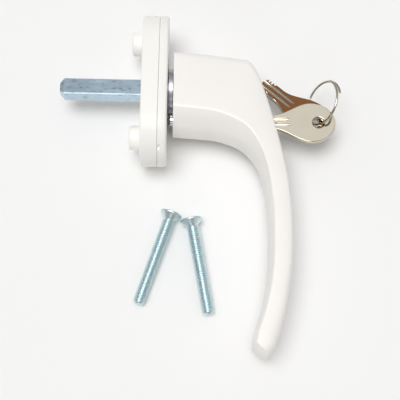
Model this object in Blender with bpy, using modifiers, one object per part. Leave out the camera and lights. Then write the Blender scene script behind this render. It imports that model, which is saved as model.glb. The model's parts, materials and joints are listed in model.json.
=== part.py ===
# Lockable tilt-and-turn window handle with two keys on a ring and two loose fixing screws.
# Lengths below are in millimetres, X along the spindle into the room, Y up the rosette, Z up.
import math

import bmesh
import bpy
from mathutils import Matrix, Vector

for old in list(bpy.data.objects):
    bpy.data.objects.remove(old, do_unlink=True)

# Driving sizes of the rosette
ROSETTE_LENGTH = 66.0
ROSETTE_WIDTH = 32.0
BASE_THICK = 7.0
PAD_HEIGHT = 1.8
PAD_INSET = 2.4
COVER_WALL = 1.6
COVER_HEIGHT = 3.4
SEAM = 0.3
PEG_SPACING = 43.0
PEG_RADIUS = 5.0
PEG_LENGTH = 4.7
SCREW_HOLE_RADIUS = 2.8

# Driving sizes of the spindle and neck
SPINDLE_SIDE = 7.0
SPINDLE_OUT = 34.0
SOCKET_DEPTH = 18.5
FIT = 0.3
JOURNAL_RADIUS = 6.8
FLANGE_RADIUS = 9.3
HUB_GAP = 2.4

# Driving sizes of the lock and keys
LOCK_OFFSET = 13.3
BOLT_RADIUS = 2.4
BOLT_STROKE = 3.8
PLUG_RADIUS = 5.6
HOUSING_WALL = 1.1
KEY_THICK = 2.0
KEY_REACH = 25.2
BLADE_WIDTH = 6.4
BLADE_TAPER = 2.0
BOW_NOSE = 9.9
BOW_FLARE = 16.0
BOW_WIDTH = 17.4
KEY_HOLE_RADIUS = 2.5
KEY_HOLE_AT = 2.9
GROOVE_AT = 1.2
GROOVE_WIDTH = 0.9
GROOVE_DEPTH = 0.4
GROOVE_END = -10.0
RING_RADIUS = 9.5
RING_WIRE = 0.55

# Driving sizes of the fixing screws
SCREW_LENGTH = 40.0
SCREW_RADIUS = 2.5
SCREW_HEAD_RADIUS = 4.6
SCREW_HEAD_HEIGHT = 2.9
THREAD_PITCH = 0.8
THREAD_DEPTH = 0.35

COVER_BACK = BASE_THICK + SEAM
COVER_FRONT = COVER_BACK + COVER_HEIGHT
HUB_BACK = COVER_FRONT + HUB_GAP
FLOOR = -ROSETTE_WIDTH / 2.0
MM = 0.001

parts = bpy.data.collections.new("window_handle")
cutters = bpy.data.collections.new("cutters")
bpy.context.scene.collection.children.link(parts)
bpy.context.scene.collection.children.link(cutters)


def material(name, colour, rough, metal):
    m = bpy.data.materials.new(name)
    m.use_nodes = True
    s = m.node_tree.nodes["Principled BSDF"]
    s.inputs["Base Color"].default_value = (colour[0], colour[1], colour[2], 1.0)
    s.inputs["Roughness"].default_value = rough
    s.inputs["Metallic"].default_value = metal
    return m


WHITE = material("white_powder_coat", (0.86, 0.84, 0.81), 0.35, 0.0)
CREAM = material("white_plastic", (0.86, 0.84, 0.77), 0.4, 0.0)
ZINC = material("blue_zinc_steel", (0.45, 0.5, 0.55), 0.3, 1.0)
STEEL = material("bright_steel", (0.6, 0.6, 0.6), 0.2, 1.0)
SPRING = material("spring_steel", (0.35, 0.35, 0.36), 0.35, 1.0)
BRASS = material("brass", (0.7, 0.52, 0.22), 0.3, 1.0)
NICKEL = material("nickel", (0.62, 0.58, 0.52), 0.12, 1.0)
NYLON = material("grey_nylon", (0.3, 0.3, 0.3), 0.5, 0.0)


def pivot(name, at, parent=None):
    e = bpy.data.objects.new(name, None)
    e.empty_display_size = 0.005
    parts.objects.link(e)
    base = Vector((0.0, 0.0, 0.0))
    if parent is not None:
        e.parent = parent
        base = Vector(parent["at"])
    e["at"] = [at[0], at[1], at[2]]
    e.location = (Vector(at) - base) * MM
    return e


ROOT = pivot("rosette_root", (0.0, 0.0, 0.0))
COVER = pivot("cover_slide", (COVER_BACK, 0.0, 0.0), ROOT)
LEVER = pivot("lever_axis", (HUB_BACK, 0.0, 0.0), ROOT)


def add(name, mesh, home, mat, cutter=False):
    ob = bpy.data.objects.new(name, mesh)
    ob.parent = home
    if cutter:
        cutters.objects.link(ob)
        ob.hide_render = True
        ob.display_type = "WIRE"
    else:
        parts.objects.link(ob)
        mesh.materials.append(mat)
    return ob


# Close up a mesh built in millimetres and hang it on its home
def close(name, bm, home, mat, cutter):
    bmesh.ops.remove_doubles(bm, verts=bm.verts, dist=1e-4)
    bmesh.ops.recalc_face_normals(bm, faces=bm.faces)
    bmesh.ops.translate(bm, vec=-Vector(home["at"]), verts=bm.verts)
    bmesh.ops.scale(bm, vec=(MM, MM, MM), verts=bm.verts)
    mesh = bpy.data.meshes.new(name)
    bm.to_mesh(mesh)
    bm.free()
    mesh.shade_smooth()
    mesh.set_sharp_from_angle(angle=math.radians(30.0))
    return add(name, mesh, home, mat, cutter)


# A body from points and faces, for lofts, waves and threads
def make(name, verts, faces, home, mat, cutter=False):
    mesh = bpy.data.meshes.new(name)
    mesh.from_pydata(verts, [], faces)
    bm = bmesh.new()
    bm.from_mesh(mesh)
    bpy.data.meshes.remove(mesh)
    return close(name, bm, home, mat, cutter)


# A loft through sections of equal point count, closed at both ends
def loft(name, loops, home, mat, cutter=False):
    n = len(loops[0])
    verts = [p for loop in loops for p in loop]
    faces = []
    for k in range(len(loops) - 1):
        for i in range(n):
            j = (i + 1) % n
            faces.append((k * n + i, k * n + j, (k + 1) * n + j, (k + 1) * n + i))
    faces.append(tuple(reversed(range(n))))
    last = (len(loops) - 1) * n
    faces.append(tuple(range(last, last + n)))
    return make(name, verts, faces, home, mat, cutter)


# A profile of (x, radius) pairs turned about an axis along X at y, z; a hollow one keeps off the axis
def turned(name, profile, home, mat, y=0.0, z=0.0, steps=32, cutter=False, hollow=False):
    points = list(reversed(profile))
    edges = [(i, i + 1) for i in range(len(points) - 1)]
    if hollow:
        edges.append((len(points) - 1, 0))
    else:
        points = [(points[0][0], 0.0)] + points + [(points[-1][0], 0.0)]
        edges = [(i, i + 1) for i in range(len(points) - 1)]
    mesh = bpy.data.meshes.new(name)
    mesh.from_pydata([(x * MM, r * MM, 0.0) for x, r in points], edges, [])
    ob = add(name, mesh, home, mat, cutter)
    ob.location = (Vector((0.0, y, z)) - Vector(home["at"])) * MM
    ob.rotation_euler.x = math.pi / steps
    turn = ob.modifiers.new("turn", "SCREW")
    turn.axis = "X"
    turn.steps = steps
    turn.render_steps = steps
    turn.use_merge_vertices = True
    turn.merge_threshold = 1e-6
    return ob


def cylinder(name, radius, at, height, home, mat, steps=16, cutter=False):
    bm = bmesh.new()
    bmesh.ops.create_cone(bm, cap_ends=True, segments=steps, radius1=radius, radius2=radius, depth=height,
                          matrix=Matrix.Translation(at))
    return close(name, bm, home, mat, cutter)


def box(name, lo, hi, home, mat, cutter=False):
    bm = bmesh.new()
    bmesh.ops.create_cube(bm, size=1.0)
    bmesh.ops.scale(bm, vec=Vector(hi) - Vector(lo), verts=bm.verts)
    bmesh.ops.translate(bm, vec=(Vector(hi) + Vector(lo)) / 2.0, verts=bm.verts)
    return close(name, bm, home, mat, cutter)


def stadium(x, inset, steps=12):
    r = ROSETTE_WIDTH / 2.0 - inset
    half = ROSETTE_LENGTH / 2.0 - ROSETTE_WIDTH / 2.0
    pts = []
    for k in range(steps + 1):
        a = math.pi * k / steps
        pts.append((x, half + r * math.sin(a), r * math.cos(a)))
    for k in range(steps + 1):
        a = math.pi + math.pi * k / steps
        pts.append((x, -half + r * math.sin(a), r * math.cos(a)))
    return pts


def square(x, half, chamfer):
    c = half - chamfer
    return [(x, half, c), (x, c, half), (x, -c, half), (x, -half, c),
            (x, -half, -c), (x, -c, -half), (x, c, -half), (x, half, -c)]


def cut(ob, tool, join=False):
    m = ob.modifiers.new(tool.name, "BOOLEAN")
    m.operation = "UNION" if join else "DIFFERENCE"
    m.solver = "EXACT"
    m.use_hole_tolerant = True
    m.object = tool


# Rosette base with pegs, screw holes, bolt pockets and the detent cavity
base = loft("rosette_base", [stadium(0.0, 0.5), stadium(0.5, 0.0), stadium(BASE_THICK, 0.0),
                              stadium(BASE_THICK, PAD_INSET), stadium(BASE_THICK + PAD_HEIGHT, PAD_INSET)],
             ROOT, CREAM)
PAD_FRONT = BASE_THICK + PAD_HEIGHT
CAVITY_BACK = 3.6
CAM_FLAT = JOURNAL_RADIUS + 1.4
CAVITY_RADIUS = CAM_FLAT + 1.7
COUNTERBORE = JOURNAL_RADIUS + 2.2
LEAF_THICK = 0.6
LEAF_HALF = 12.4
for side, tag in ((1.0, "upper"), (-1.0, "lower")):
    y = side * PEG_SPACING / 2.0
    peg = turned("peg_" + tag, [(-PEG_LENGTH, PEG_RADIUS - 0.6), (-PEG_LENGTH + 0.6, PEG_RADIUS),
                               (1.0, PEG_RADIUS)], ROOT, CREAM, y, 0.0, 24, True)
    cut(base, peg, True)
for side, tag in ((1.0, "upper"), (-1.0, "lower")):
    y = side * PEG_SPACING / 2.0
    hole = turned("screw_way_" + tag, [(-PEG_LENGTH - 1.0, SCREW_HOLE_RADIUS),
                                      (PAD_FRONT - SCREW_HEAD_HEIGHT, SCREW_HOLE_RADIUS),
                                      (PAD_FRONT - 0.6, SCREW_HEAD_RADIUS + 0.3),
                                      (PAD_FRONT + 1.0, SCREW_HEAD_RADIUS + 0.3)], ROOT, CREAM, y, 0.0,
                                      24, True)
    cut(base, hole)
    pocket = turned("bolt_pocket_" + tag, [(PAD_FRONT - 2.2, BOLT_RADIUS + 0.35),
                                          (PAD_FRONT + 1.0, BOLT_RADIUS + 0.35)],
                   ROOT, CREAM, side * LOCK_OFFSET, 0.0, 20, True)
    cut(base, pocket)
bore = turned("neck_way", [(-1.0, COUNTERBORE), (2.6, COUNTERBORE), (2.6, JOURNAL_RADIUS + FIT),
                           (CAVITY_BACK, JOURNAL_RADIUS + FIT),
                          (CAVITY_BACK, CAVITY_RADIUS), (PAD_FRONT + 1.0, CAVITY_RADIUS)], ROOT, CREAM,
                          steps=40,
             cutter=True)
cut(base, bore)
for side, tag in ((1.0, "front"), (-1.0, "rear")):
    lo = min(side * (CAM_FLAT - 1.0), side * (CAVITY_RADIUS + 1.4))
    hi = max(side * (CAM_FLAT - 1.0), side * (CAVITY_RADIUS + 1.4))
    slot = box("leaf_slot_" + tag, (CAVITY_BACK + 0.1, -LEAF_HALF - FIT, lo),
               (PAD_FRONT + 1.0, LEAF_HALF + FIT, hi), ROOT, CREAM, True)
    cut(base, slot)
    z0 = side * (CAM_FLAT + FIT)
    z1 = side * (CAM_FLAT + FIT + LEAF_THICK)
    box("detent_leaf_" + tag, (CAVITY_BACK + 0.6, -LEAF_HALF, min(z0, z1)),
        (PAD_FRONT - 1.0, LEAF_HALF, max(z0, z1)), ROOT, SPRING)

# Snap cover of the rosette, a hollow cap with a rounded rim
cover = loft("rosette_cover", [stadium(COVER_BACK, 0.0), stadium(COVER_FRONT - 0.9, 0.0),
                                stadium(COVER_FRONT - 0.4, 0.15), stadium(COVER_FRONT - 0.1, 0.5),
                                stadium(COVER_FRONT, 1.0)], COVER, CREAM)
hollow = loft("cover_hollow", [stadium(COVER_BACK - 1.0, PAD_INSET - FIT),
                                stadium(COVER_FRONT - COVER_WALL, PAD_INSET - FIT)], COVER, CREAM, True)
cut(cover, hollow)
cut(cover, turned("cover_eye", [(COVER_BACK - 1.0, FLANGE_RADIUS + FIT),
                                (COVER_FRONT + 1.0, FLANGE_RADIUS + FIT)],
                 COVER, CREAM, steps=40, cutter=True))
for side, tag in ((1.0, "upper"), (-1.0, "lower")):
    cut(cover, turned("cover_bolt_hole_" + tag, [(COVER_BACK - 1.0, BOLT_RADIUS + 0.35),
                                                (COVER_FRONT + 1.0, BOLT_RADIUS + 0.35)],
                     COVER, CREAM, side * LOCK_OFFSET, 0.0, 20, True))
notch = box("pry_notch", (COVER_BACK - 1.0, -ROSETTE_LENGTH / 2.0 + 2.2, ROSETTE_WIDTH / 2.0 - 7.4),
            (COVER_BACK + 0.8, -ROSETTE_LENGTH / 2.0 + 4.2, ROSETTE_WIDTH / 2.0), COVER, CREAM, True)
cut(cover, notch)

# Neck collar, the bearing of the lever in the rosette
FLANGE_BACK = COVER_FRONT + FIT
FLANGE_FRONT = HUB_BACK - FIT
SPIGOT_END = HUB_BACK + 5.0
SOCKET = SPINDLE_SIDE / 2.0 + FIT
collar = turned("neck_collar", [(0.5, JOURNAL_RADIUS - 0.4), (0.6, JOURNAL_RADIUS - 0.3),
                               (0.6, JOURNAL_RADIUS - 0.6), (1.6, JOURNAL_RADIUS - 0.6),
                               (1.6, JOURNAL_RADIUS),
                               (FLANGE_BACK, JOURNAL_RADIUS), (FLANGE_BACK, FLANGE_RADIUS),
                               (FLANGE_FRONT, FLANGE_RADIUS), (FLANGE_FRONT, JOURNAL_RADIUS),
                               (SPIGOT_END, JOURNAL_RADIUS)], LEVER, STEEL, steps=40)
cut(collar, loft("collar_square", [square(-1.0, SOCKET, 0.4), square(SPIGOT_END + 1.0, SOCKET, 0.4)],
                  LEVER, STEEL, True))
PIN_X = HUB_BACK + 2.5
PIN_RADIUS = 1.0


def cross_pin(name, radius, half, mat, cutter=False):
    return cylinder(name, radius, (PIN_X, 0.0, 0.0), 2.0 * half, LEVER, mat, 16, cutter)


cut(collar, cross_pin("collar_pin_way", PIN_RADIUS + FIT, 9.0, STEEL, True))
cross_pin("spindle_pin", PIN_RADIUS, JOURNAL_RADIUS - 0.4, SPRING)
WASHER_RADIUS = COUNTERBORE - 0.4
CLIP_RADIUS = COUNTERBORE - 0.6
turned("thrust_washer", [(1.95, JOURNAL_RADIUS + FIT), (1.95, WASHER_RADIUS), (2.35, WASHER_RADIUS),
                         (2.35, JOURNAL_RADIUS + FIT)], LEVER, NYLON, hollow=True)
clip = turned("retaining_ring", [(0.75, JOURNAL_RADIUS - 0.3), (0.75, CLIP_RADIUS), (1.45, CLIP_RADIUS),
                                 (1.45, JOURNAL_RADIUS - 0.3)], LEVER, SPRING, hollow=True)
cut(clip, box("clip_mouth", (0.0, 0.0, -2.6), (2.0, CLIP_RADIUS + 2.0, 2.6), LEVER, SPRING, True))
cam_half = CAM_FLAT
cam = loft("detent_cam", [square(CAVITY_BACK + 0.3, cam_half, 2.9), square(PAD_FRONT - 0.6, cam_half, 2.9)],
            LEVER, NYLON)
cut(cam, turned("cam_bore", [(0.0, JOURNAL_RADIUS + FIT), (PAD_FRONT + 1.0, JOURNAL_RADIUS + FIT)],
               LEVER, NYLON, steps=40, cutter=True))

# Square spindle with a chamfered nose
half = SPINDLE_SIDE / 2.0
SPINDLE_END = HUB_BACK + SOCKET_DEPTH - 0.5
spindle = loft("square_spindle", [square(-SPINDLE_OUT, half - 1.5, 0.3),
                                  square(-SPINDLE_OUT + 1.8, half, 0.35),
                                   square(SPINDLE_END, half, 0.35)], LEVER, ZINC)
cut(spindle, cross_pin("spindle_pin_way", PIN_RADIUS + FIT, 6.0, ZINC, True))

# Lever: outer point, inner point, half width, ridge place, inner edge share, outer rounding
STATIONS = [
    ((HUB_BACK, 13.4), (HUB_BACK, -19.4), 13.0, 0.21, 0.30, 0.12),
    ((22.0, 12.8), (22.0, -19.9), 12.9, 0.20, 0.30, 0.12),
    ((31.0, 11.9), (31.0, -20.7), 12.7, 0.19, 0.32, 0.12),
    ((39.0, 11.0), (38.0, -22.8), 12.4, 0.165, 0.36, 0.12),
    ((44.0, 10.2), (42.5, -25.4), 12.1, 0.15, 0.40, 0.12),
    ((47.3, 5.4), (45.5, -28.4), 11.8, 0.14, 0.44, 0.12),
    ((50.2, -2.6), (47.6, -31.6), 11.5, 0.14, 0.48, 0.12),
    ((53.2, -12.6), (49.3, -35.4), 11.2, 0.14, 0.52, 0.13),
    ((56.1, -23.6), (50.6, -40.6), 10.9, 0.15, 0.56, 0.14),
    ((58.6, -34.6), (51.5, -47.4), 10.6, 0.16, 0.60, 0.16),
    ((60.4, -46.4), (52.0, -54.6), 10.4, 0.17, 0.62, 0.18),
    ((61.2, -60.0), (52.2, -63.4), 10.2, 0.17, 0.64, 0.20),
    ((61.0, -73.4), (51.9, -74.0), 10.0, 0.17, 0.64, 0.24),
    ((59.3, -87.0), (50.8, -84.0), 9.8, 0.17, 0.64, 0.29),
    ((56.7, -99.0), (48.6, -93.6), 9.6, 0.17, 0.64, 0.33),
    ((54.2, -108.2), (45.7, -102.6), 9.4, 0.17, 0.64, 0.36),
    ((51.6, -113.2), (45.1, -107.6), 2.6, 0.2, 0.6, 0.36),
]


def flat_values(s):
    return [s[0][0], s[0][1], s[1][0], s[1][1], s[2], s[3], s[4], s[5]]


# Even curve through the stations
def between(rows, t):
    k = min(int(t), len(rows) - 2)
    u = t - k
    a = rows[max(k - 1, 0)]
    b = rows[k]
    c = rows[k + 1]
    d = rows[min(k + 2, len(rows) - 1)]
    out = []
    for i in range(len(b)):
        m0 = (c[i] - a[i]) / 2.0
        m1 = (d[i] - b[i]) / 2.0
        h = (2 * u**3 - 3 * u**2 + 1) * b[i] + (u**3 - 2 * u**2 + u) * m0
        out.append(h + (3 * u**2 - 2 * u**3) * c[i] + (u**3 - u**2) * m1)
    return out


def lever_loop(row):
    ox, oy, ix, iy, w, ridge, share, soft = row
    side = [(0.0, share), (ridge * 0.3, 0.45 + 0.55 * share * 0.9), (ridge * 0.66, 0.78 + 0.2 * share),
            (ridge, 1.0),
            (ridge + 0.05, 1.005), (0.45, 1.01), (1.0 - soft, 1.0), (1.0 - soft * 0.6, 0.965),
            (1.0 - soft * 0.28, 0.88), (1.0 - soft * 0.08, 0.76), (1.0, 0.6)]
    loop = []
    for s, z in side:
        loop.append((ix + (ox - ix) * s, iy + (oy - iy) * s, w * z))
    loop.append((ix + (ox - ix) * 1.01, iy + (oy - iy) * 1.01, 0.0))
    for s, z in reversed(side):
        loop.append((ix + (ox - ix) * s, iy + (oy - iy) * s, -w * z))
    loop.append((ix - (ox - ix) * 0.01, iy - (oy - iy) * 0.01, 0.0))
    return loop


rows = [flat_values(s) for s in STATIONS]
loops = []
for k in range(len(rows) - 2):
    for step in range(3):
        loops.append(lever_loop(between(rows[:-1], k + step / 3.0)))
loops.append(lever_loop(rows[-2]))
loops.append(lever_loop(rows[-1]))
lever = loft("lever_handle", loops, LEVER, WHITE)
cut(lever, loft("lever_square", [square(HUB_BACK - 1.0, SOCKET, 0.4),
                                 square(HUB_BACK + SOCKET_DEPTH, SOCKET, 0.4)],
                 LEVER, WHITE, True))
cut(lever, turned("lever_recess", [(HUB_BACK - 1.0, JOURNAL_RADIUS + FIT),
                                   (SPIGOT_END + FIT, JOURNAL_RADIUS + FIT)],
                 LEVER, WHITE, steps=40, cutter=True))

# Bolt way, spring chamber and lock bore in one stepped cutter
CHAMBER_BACK = HUB_BACK + 5.0
CHAMBER_RADIUS = 4.9
LOCK_BACK = 41.0
HOUSING_RADIUS = PLUG_RADIUS + FIT + HOUSING_WALL
way = turned("lock_way", [(HUB_BACK - 1.0, BOLT_RADIUS + 0.35), (CHAMBER_BACK, BOLT_RADIUS + 0.35),
                         (CHAMBER_BACK, CHAMBER_RADIUS), (LOCK_BACK - FIT, CHAMBER_RADIUS),
                         (LOCK_BACK - FIT, HOUSING_RADIUS + FIT), (62.0, HOUSING_RADIUS + FIT)],
            LEVER, WHITE, -LOCK_OFFSET, 0.0, 40, True)
cut(lever, way)

# Lock housing, plug, wafers and face cam
LOCK_FRONT = 51.0
turned("lock_housing", [(LOCK_BACK, PLUG_RADIUS + FIT), (LOCK_BACK, HOUSING_RADIUS),
                        (LOCK_FRONT, HOUSING_RADIUS),
                        (LOCK_FRONT, PLUG_RADIUS + FIT)], LEVER, NICKEL, -LOCK_OFFSET, 0.0, 40, hollow=True)
PLUG = pivot("plug_axis", (LOCK_BACK, -LOCK_OFFSET, 0.0), LEVER)
KEY = pivot("key_slide", (LOCK_FRONT, -LOCK_OFFSET, 0.0), PLUG)
BOLT = pivot("bolt_slide", (CHAMBER_BACK, -LOCK_OFFSET, 0.0), LEVER)
TAIL_RADIUS = 1.4
CAM_FRONT = LOCK_BACK - 0.4
CAM_BASE = 1.0
CAM_OUTER = 4.3
CAM_INNER = TAIL_RADIUS + FIT
CAM_GAP = 0.4
VALLEY = CAM_FRONT - CAM_BASE
TIP = VALLEY - BOLT_STROKE
plug = turned("lock_plug", [(TIP + 0.6, TAIL_RADIUS), (LOCK_BACK + 0.3, TAIL_RADIUS),
                            (LOCK_BACK + 0.3, PLUG_RADIUS),
                           (LOCK_FRONT - 0.6, PLUG_RADIUS), (LOCK_FRONT - 0.2, PLUG_RADIUS - 0.4)],
             PLUG, BRASS, -LOCK_OFFSET, 0.0, 40)
KEY_TIP = 45.0
WAYZ = KEY_THICK / 2.0 + FIT
WAYY = BLADE_WIDTH / 2.0 + FIT
cut(plug, box("keyway", (KEY_TIP - 0.6, -LOCK_OFFSET - WAYY, -WAYZ),
              (LOCK_FRONT + 1.0, -LOCK_OFFSET + WAYY, WAYZ),
              PLUG, BRASS, True))
WAFER_THICK = 0.6
WAFER_PITCH = 1.4
WAFER_FIRST = 0.6
for k in range(4):
    x = KEY_TIP + WAFER_FIRST + WAFER_PITCH * k
    hy = WAYY + 0.6
    hz = WAYZ + 0.9
    cut(plug, box("wafer_slot_%d" % (k + 1), (x - WAFER_THICK / 2.0 - 0.25, -LOCK_OFFSET - hy - 0.25,
                                              -hz - 0.25),
                  (x + WAFER_THICK / 2.0 + 0.25, -LOCK_OFFSET + hy + 0.25, hz + 0.25), PLUG, BRASS, True))
    wafer = box("wafer_%d" % (k + 1), (x - WAFER_THICK / 2.0, -LOCK_OFFSET - hy, -hz),
                (x + WAFER_THICK / 2.0, -LOCK_OFFSET + hy, hz), PLUG, BRASS)
    cut(wafer, box("wafer_window_%d" % (k + 1), (x - 1.0, -LOCK_OFFSET - WAYY, -WAYZ),
                   (x + 1.0, -LOCK_OFFSET + WAYY, WAYZ), PLUG, BRASS, True))


# Two-lobed wave whose height rises evenly over a quarter turn
def wave(a):
    turn = (math.degrees(a) % 180.0) / 90.0
    return turn if turn <= 1.0 else 2.0 - turn


def crown(name, flat, valley, sign, home, mat):
    steps = 32
    verts = []
    for k in range(steps):
        a = 2.0 * math.pi * k / steps
        top = valley + sign * BOLT_STROKE * (wave(a) if sign > 0 else 1.0 - wave(a))
        for x, r in ((flat, CAM_INNER), (flat, CAM_OUTER), (top, CAM_OUTER), (top, CAM_INNER)):
            verts.append((x, -LOCK_OFFSET + r * math.cos(a), r * math.sin(a)))
    faces = []
    for k in range(steps):
        b = ((k + 1) % steps) * 4
        for i in range(4):
            j = (i + 1) % 4
            faces.append((k * 4 + i, k * 4 + j, b + j, b + i))
    return make(name, verts, faces, home, mat)


crown("plug_cam", CAM_FRONT, VALLEY, -1.0, PLUG, STEEL)

# Locking bolt with the mating wave, and its return spring
BOLT_TIP = COVER_FRONT + 0.6
FOLLOW = TIP - CAM_GAP
FLANGE = 1.7
bolt_profile = [(BOLT_TIP, BOLT_RADIUS - 0.5), (BOLT_TIP + 0.5, BOLT_RADIUS),
                (FOLLOW - FLANGE, BOLT_RADIUS),
                (FOLLOW - FLANGE, CAM_OUTER), (FOLLOW - 0.4, CAM_OUTER), (FOLLOW - 0.4, CAM_INNER)]
steps = 32
verts = []
for k in range(steps):
    a = 2.0 * math.pi * k / steps
    top = FOLLOW + BOLT_STROKE * wave(a)
    ring = bolt_profile[:4] + [(top, CAM_OUTER), (top, CAM_INNER), (FOLLOW - 0.4, CAM_INNER)]
    for x, r in ring:
        verts.append((x, -LOCK_OFFSET + r * math.cos(a), r * math.sin(a)))
faces = []
m = 7
for k in range(steps):
    b = ((k + 1) % steps) * m
    for i in range(m - 1):
        faces.append((k * m + i, k * m + i + 1, b + i + 1, b + i))
faces.append(tuple(k * m for k in reversed(range(steps))))
faces.append(tuple(k * m + m - 1 for k in range(steps)))
make("locking_bolt", verts, faces, BOLT, STEEL)


# Wire along points, as an unbroken tube with capped ends
def wire(name, points, radius, home, mat, sides):
    cu = bpy.data.curves.new(name, "CURVE")
    cu.dimensions = "3D"
    cu.bevel_depth = radius * MM
    cu.bevel_resolution = sides
    cu.use_fill_caps = True
    sp = cu.splines.new("POLY")
    sp.points.add(len(points) - 1)
    at = Vector(home["at"])
    for p, q in zip(sp.points, points):
        v = (Vector(q) - at) * MM
        p.co = (v.x, v.y, v.z, 1.0)
    cu.materials.append(mat)
    ob = bpy.data.objects.new(name, cu)
    ob.parent = home
    parts.objects.link(ob)
    return ob


SPRING_WIRE = 0.4
SPRING_MEAN = (BOLT_RADIUS + CHAMBER_RADIUS) / 2.0
SPRING_TURNS = 5
lo = CHAMBER_BACK + SPRING_WIRE + FIT
hi = FOLLOW - FLANGE - SPRING_WIRE - FIT
coil = []
for k in range(SPRING_TURNS * 16 + 1):
    a = 2.0 * math.pi * k / 16
    x = lo + (hi - lo) * k / (SPRING_TURNS * 16)
    coil.append((x, -LOCK_OFFSET + SPRING_MEAN * math.cos(a), SPRING_MEAN * math.sin(a)))
wire("bolt_spring", coil, SPRING_WIRE, LEVER, SPRING, 1)
print("bolt spring least gap to itself mm", round((hi - lo) / SPRING_TURNS - 2.0 * SPRING_WIRE, 3))

# Key outline in its own frame: bow centre at the origin, round nose to +X, blade to -X
def key_outline():
    half_bow = BOW_WIDTH / 2.0
    half_blade = BLADE_WIDTH / 2.0
    nose = []
    for k in range(25):
        a = math.radians(-90.0 + 180.0 * k / 24)
        nose.append((BOW_NOSE * math.cos(a), half_bow * math.sin(a)))
    upper = []
    for k in range(1, 13):
        swell = 0.5 + 0.5 * math.cos(math.pi * k / 12)
        upper.append((-BOW_FLARE * k / 12, half_blade + (half_bow - half_blade) * swell))
    # One notch over each wafer behind the tapered tip
    for k, depth in ((3, 0.7), (2, 1.2), (1, 0.9)):
        x = WAFER_FIRST + WAFER_PITCH * k - KEY_REACH
        upper += [(x + 0.6, half_blade), (x + 0.2, half_blade - depth), (x - 0.2, half_blade - depth),
                  (x - 0.6, half_blade)]
    upper.append((-KEY_REACH, half_blade - BLADE_TAPER))
    return nose + upper + [(x, -y) for x, y in reversed(upper)]


# A key stamped from its outline, with an eye and two grooves a side
def key(name, home, place):
    curve = bpy.data.curves.new(name, "CURVE")
    curve.dimensions = "2D"
    curve.fill_mode = "BOTH"
    curve.extrude = KEY_THICK / 2.0 * MM
    outline = key_outline()
    spline = curve.splines.new("POLY")
    spline.points.add(len(outline) - 1)
    spline.use_cyclic_u = True
    for point, (x, y) in zip(spline.points, outline):
        point.co = (x * MM, y * MM, 0.0, 1.0)
    flat = bpy.data.objects.new(name + "_outline", curve)
    parts.objects.link(flat)
    view = bpy.context.evaluated_depsgraph_get()
    mesh = bpy.data.meshes.new_from_object(flat.evaluated_get(view))
    bpy.data.objects.remove(flat, do_unlink=True)
    bm = bmesh.new()
    bm.from_mesh(mesh)
    bmesh.ops.remove_doubles(bm, verts=bm.verts, dist=1e-7)
    bmesh.ops.recalc_face_normals(bm, faces=bm.faces)
    bm.to_mesh(mesh)
    bm.free()
    ob = add(name, mesh, home, NICKEL)
    ob.location = (place.translation - Vector(home["at"])) * MM
    ob.rotation_euler = place.to_euler()
    ob["at"] = [0.0, 0.0, 0.0]
    cut(ob, cylinder(name + "_eye", KEY_HOLE_RADIUS, (KEY_HOLE_AT, 0.0, 0.0), 3.0 * KEY_THICK, ob, NICKEL,
                     24, True))
    for y, tag in ((GROOVE_AT, "a"), (-GROOVE_AT, "b")):
        for side, face in ((KEY_THICK / 2.0, "top"), (-KEY_THICK / 2.0, "under")):
            cut(ob, box(name + "_groove_" + tag + "_" + face,
                        (-KEY_REACH - 1.0, y - GROOVE_WIDTH / 2.0, side - GROOVE_DEPTH),
                        (GROOVE_END, y + GROOVE_WIDTH / 2.0, side + GROOVE_DEPTH), ob, NICKEL, True))
    return ob


BOW_X = KEY_TIP + KEY_REACH
key("key_in_lock", KEY, Matrix.Translation((BOW_X, -LOCK_OFFSET, 0.0)))

# Split ring: a wire of just over one turn through both key eyes
EYE = Vector((BOW_X + KEY_HOLE_AT + 0.8, -LOCK_OFFSET - 0.4, 0.0))
e1 = Vector((-0.117, -0.987, -0.109)).normalized()
e2 = Vector((0.562, -0.156, 0.812))
e2 = (e2 - e1 * e2.dot(e1)).normalized()
e3 = e1.cross(e2)
RING_CENTRE = EYE - e1 * RING_RADIUS
RING = pivot("ring_swing", tuple(EYE), KEY)
RING_OVERLAP = 50.0
RING_STEP = 1.0
RING_START = 105.0
ring_points = []
count = 82
for k in range(count + 1):
    d = (360.0 + RING_OVERLAP) * k / count
    a = math.radians(RING_START + d)
    grow = RING_STEP * (2.0 * k / count - 1.0)
    ring_points.append(tuple(RING_CENTRE + (e1 * math.cos(a) + e2 * math.sin(a)) * RING_RADIUS + e3 * grow))
wire("key_ring", ring_points, RING_WIRE, RING, STEEL, 2)
least = 99.0
for i in range(count + 1):
    for j in range(i + 20, count + 1):
        least = min(least, (Vector(ring_points[i]) - Vector(ring_points[j])).length)
print("key ring least gap to itself mm", round(least - 2.0 * RING_WIRE, 3))

# Spare key hanging on the ring behind the first
SPARE_TURN = 41.4
SPARE_TILT = -1.7
SPARE_ROLL = -4.0
SPARE_PLAY = Vector((-0.1, -0.2, 0.5))
at_ring = math.radians(-29.0)
SPARE_EYE = RING_CENTRE + (e1 * math.cos(at_ring) + e2 * math.sin(at_ring)) * RING_RADIUS
SPARE = pivot("spare_swing", tuple(SPARE_EYE), RING)
place = (Matrix.Translation(SPARE_EYE + SPARE_PLAY) @ Matrix.Rotation(math.radians(-SPARE_TURN), 4, "Z")
         @ Matrix.Rotation(math.radians(SPARE_TILT), 4, "Y") @ Matrix.Rotation(math.radians(SPARE_ROLL),
                                                                               4, "X")
         @ Matrix.Translation((-KEY_HOLE_AT, 0.0, 0.0)))
key("spare_key", SPARE, place)


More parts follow.
